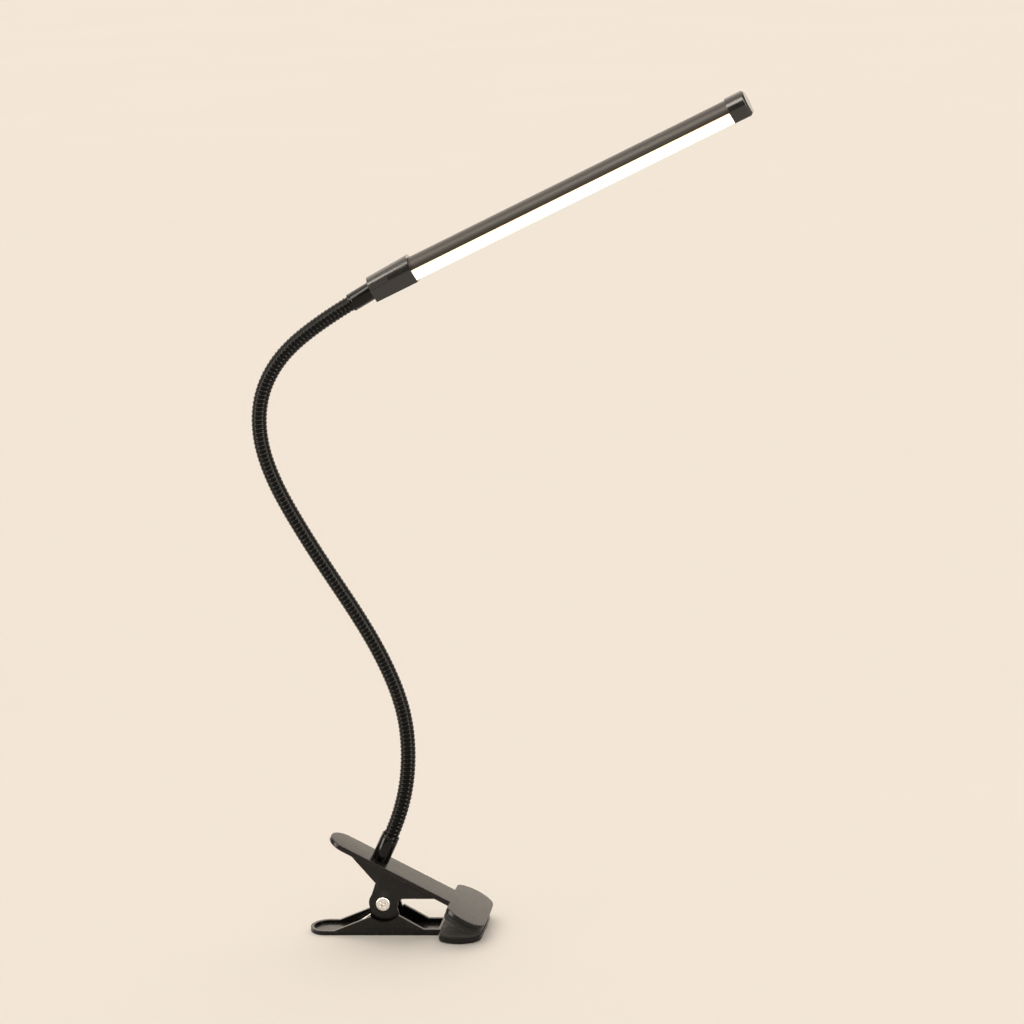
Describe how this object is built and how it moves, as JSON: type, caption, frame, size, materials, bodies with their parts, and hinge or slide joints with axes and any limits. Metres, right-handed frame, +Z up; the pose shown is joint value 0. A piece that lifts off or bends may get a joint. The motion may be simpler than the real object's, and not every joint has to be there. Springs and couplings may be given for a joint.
{
  "type": "clip-on reading lamp",
  "caption": "Spring clip lamp with a flexible gooseneck and a slim lit bar: a wide-jawed handle clip, black wound hose, polished ferrules and an opal strip under a dark housing.",
  "frame": {"origin": "on the lower jaw's flat underside, straight below the jaw pivot, in the plane that halves the clip", "axes": "+Z up; +X from the handles towards the jaws' mouth and the lit bar; +Y across the clip, along the jaw pivot, away from the screw head"},
  "size_m": [0.2934, 0.05, 0.4882],
  "materials": {
    "clip_plastic": "satin, finely grained",
    "grip_pad": "matt",
    "bright_steel": "bright zinc",
    "spring_steel": "oiled",
    "ferrule_enamel": "gloss black",
    "hose_enamel": "satin black over wound steel",
    "lead_jacket": "matt",
    "grommet_rubber": "matt",
    "bar_housing": "black anodised, satin",
    "cap_plastic": "satin",
    "opal_diffuser": "opal, lit from behind",
    "board_white": "white solder mask",
    "led_package": "phosphor filled"
  },
  "bodies": {
    "clamp_base": {"lower_jaw": "clip_plastic", "lower_pad": "grip_pad", "pivot_sleeve": "bright_steel", "torsion_spring": "spring_steel"},
    "clamp_upper": {"upper_jaw": "clip_plastic", "upper_pad": "grip_pad", "pivot_screw": "bright_steel", "pivot_nut": "bright_steel", "spring_upper_leg": "spring_steel", "lower_ferrule": "ferrule_enamel", "ferrule_leads": "lead_jacket", "stud_washer": "bright_steel", "stud_nut": "bright_steel", "lead_grommet": "grommet_rubber"},
    "neck_01": {"hose_01": "hose_enamel", "leads_01": "lead_jacket"},
    "neck_02": {"hose_02": "hose_enamel", "leads_02": "lead_jacket"},
    "neck_03": {"hose_03": "hose_enamel", "leads_03": "lead_jacket"},
    "neck_04": {"hose_04": "hose_enamel", "leads_04": "lead_jacket"},
    "neck_05": {"hose_05": "hose_enamel", "leads_05": "lead_jacket"},
    "neck_06": {"hose_06": "hose_enamel", "leads_06": "lead_jacket"},
    "neck_07": {"hose_07": "hose_enamel", "leads_07": "lead_jacket"},
    "neck_08": {"hose_08": "hose_enamel", "leads_08": "lead_jacket"},
    "neck_09": {"hose_09": "hose_enamel", "leads_09": "lead_jacket"},
    "neck_10": {"hose_10": "hose_enamel", "leads_10": "lead_jacket"},
    "neck_11": {"hose_11": "hose_enamel", "leads_11": "lead_jacket"},
    "neck_12": {"hose_12": "hose_enamel", "leads_12": "lead_jacket"},
    "neck_13": {"hose_13": "hose_enamel", "leads_13": "lead_jacket"},
    "neck_14": {"hose_14": "hose_enamel", "leads_14": "lead_jacket"},
    "head": {"upper_ferrule": "ferrule_enamel", "rear_cap": "cap_plastic", "grub_screw": "bright_steel", "housing": "bar_housing", "diffuser": "opal_diffuser", "led_board": "board_white", "led_chips": "led_package", "bar_leads": "lead_jacket", "end_cap": "cap_plastic"}
  },
  "joints": [
    {"name": "jaw_pivot", "type": "hinge", "parent": "clamp_base", "child": "clamp_upper", "pos_m": [0, 0, 0.0195], "axis": [0, -1, 0], "range_deg": [0, 50], "stiffness_Nm_per_rad": 0.46, "springref_deg": -63.03},
    {"name": "neck_01_bend", "type": "hinge", "parent": "clamp_upper", "child": "neck_01", "pos_m": [0.00572, 0, 0.05924], "axis": [0, 1, 0], "range_deg": [-15, 15]},
    {"name": "neck_02_swing", "type": "hinge", "parent": "neck_01", "child": "neck_02", "pos_m": [0.01478, 0, 0.08329], "axis": [-0.9767, 0, 0.2147], "range_deg": [-15, 15]},
    {"name": "neck_03_bend", "type": "hinge", "parent": "neck_02", "child": "neck_03", "pos_m": [0.01866, 0, 0.10878], "axis": [0, 1, 0], "range_deg": [-15, 15]},
    {"name": "neck_04_swing", "type": "hinge", "parent": "neck_03", "child": "neck_04", "pos_m": [0.01727, 0, 0.13446], "axis": [-0.9813, 0, -0.1925], "range_deg": [-15, 15]},
    {"name": "neck_05_bend", "type": "hinge", "parent": "neck_04", "child": "neck_05", "pos_m": [0.01012, 0, 0.15922], "axis": [0, 1, 0], "range_deg": [-15, 15]},
    {"name": "neck_06_swing", "type": "hinge", "parent": "neck_05", "child": "neck_06", "pos_m": [-0.00051, 0, 0.18271], "axis": [-0.8862, 0, -0.4633], "range_deg": [-15, 15]},
    {"name": "neck_07_bend", "type": "hinge", "parent": "neck_06", "child": "neck_07", "pos_m": [-0.01305, 0, 0.20525], "axis": [0, 1, 0], "range_deg": [-15, 15]},
    {"name": "neck_08_swing", "type": "hinge", "parent": "neck_07", "child": "neck_08", "pos_m": [-0.02609, 0, 0.22752], "axis": [-0.8652, 0, -0.5015], "range_deg": [-15, 15]},
    {"name": "neck_09_bend", "type": "hinge", "parent": "neck_08", "child": "neck_09", "pos_m": [-0.03844, 0, 0.25017], "axis": [0, 1, 0], "range_deg": [-15, 15]},
    {"name": "neck_10_swing", "type": "hinge", "parent": "neck_09", "child": "neck_10", "pos_m": [-0.04928, 0, 0.27357], "axis": [-0.9232, 0, -0.3843], "range_deg": [-15, 15]},
    {"name": "neck_11_bend", "type": "hinge", "parent": "neck_10", "child": "neck_11", "pos_m": [-0.05554, 0, 0.2985], "axis": [0, 1, 0], "range_deg": [-15, 15]},
    {"name": "neck_12_swing", "type": "hinge", "parent": "neck_11", "child": "neck_12", "pos_m": [-0.05302, 0, 0.32401], "axis": [-0.9568, 0, 0.2907], "range_deg": [-15, 15]},
    {"name": "neck_13_bend", "type": "hinge", "parent": "neck_12", "child": "neck_13", "pos_m": [-0.04008, 0, 0.34606], "axis": [0, 1, 0], "range_deg": [-15, 15]},
    {"name": "neck_14_swing", "type": "hinge", "parent": "neck_13", "child": "neck_14", "pos_m": [-0.02031, 0, 0.36256], "axis": [-0.5534, 0, 0.8329], "range_deg": [-15, 15]},
    {"name": "neck_15_bend", "type": "hinge", "parent": "neck_14", "child": "head", "pos_m": [0.00171, 0, 0.37598], "axis": [0, 1, 0], "range_deg": [-15, 15]}
  ],
  "couplings": [
    {"joint": "neck_03_bend", "follows": "neck_01_bend", "ratio": 1},
    {"joint": "neck_05_bend", "follows": "neck_01_bend", "ratio": 1},
    {"joint": "neck_09_bend", "follows": "neck_07_bend", "ratio": 1},
    {"joint": "neck_13_bend", "follows": "neck_11_bend", "ratio": 1},
    {"joint": "neck_15_bend", "follows": "neck_11_bend", "ratio": 1},
    {"joint": "neck_04_swing", "follows": "neck_02_swing", "ratio": 1},
    {"joint": "neck_08_swing", "follows": "neck_06_swing", "ratio": 1},
    {"joint": "neck_10_swing", "follows": "neck_06_swing", "ratio": 1},
    {"joint": "neck_14_swing", "follows": "neck_12_swing", "ratio": 1}
  ]
}
